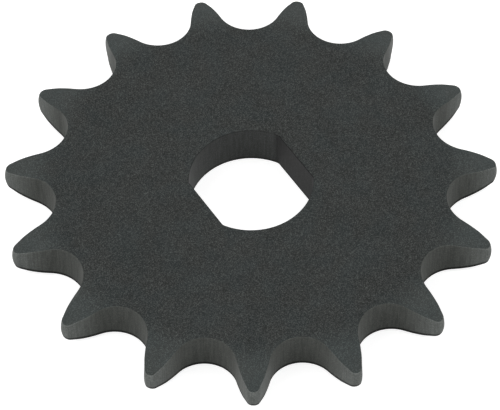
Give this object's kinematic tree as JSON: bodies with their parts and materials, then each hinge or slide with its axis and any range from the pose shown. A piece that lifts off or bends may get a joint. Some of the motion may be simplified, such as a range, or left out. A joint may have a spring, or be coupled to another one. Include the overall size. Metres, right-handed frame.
{
  "type": "chain sprocket",
  "caption": "Flat plate sprocket with rounded roller seats, teeth thinned towards their tips, and a bore with two flats.",
  "frame": {"origin": "on the bore's axis, in the lower face of the plate", "axes": "+Z along the bore, out of the upper face; X square to the bore's two flats, Y along them"},
  "size_m": [0.0664, 0.0665, 0.0062],
  "materials": {
    "dark_steel": "matt black-oxide steel, faintly speckled"
  },
  "bodies": {
    "root": {"sprocket": "dark_steel"}
  },
  "joints": []
}
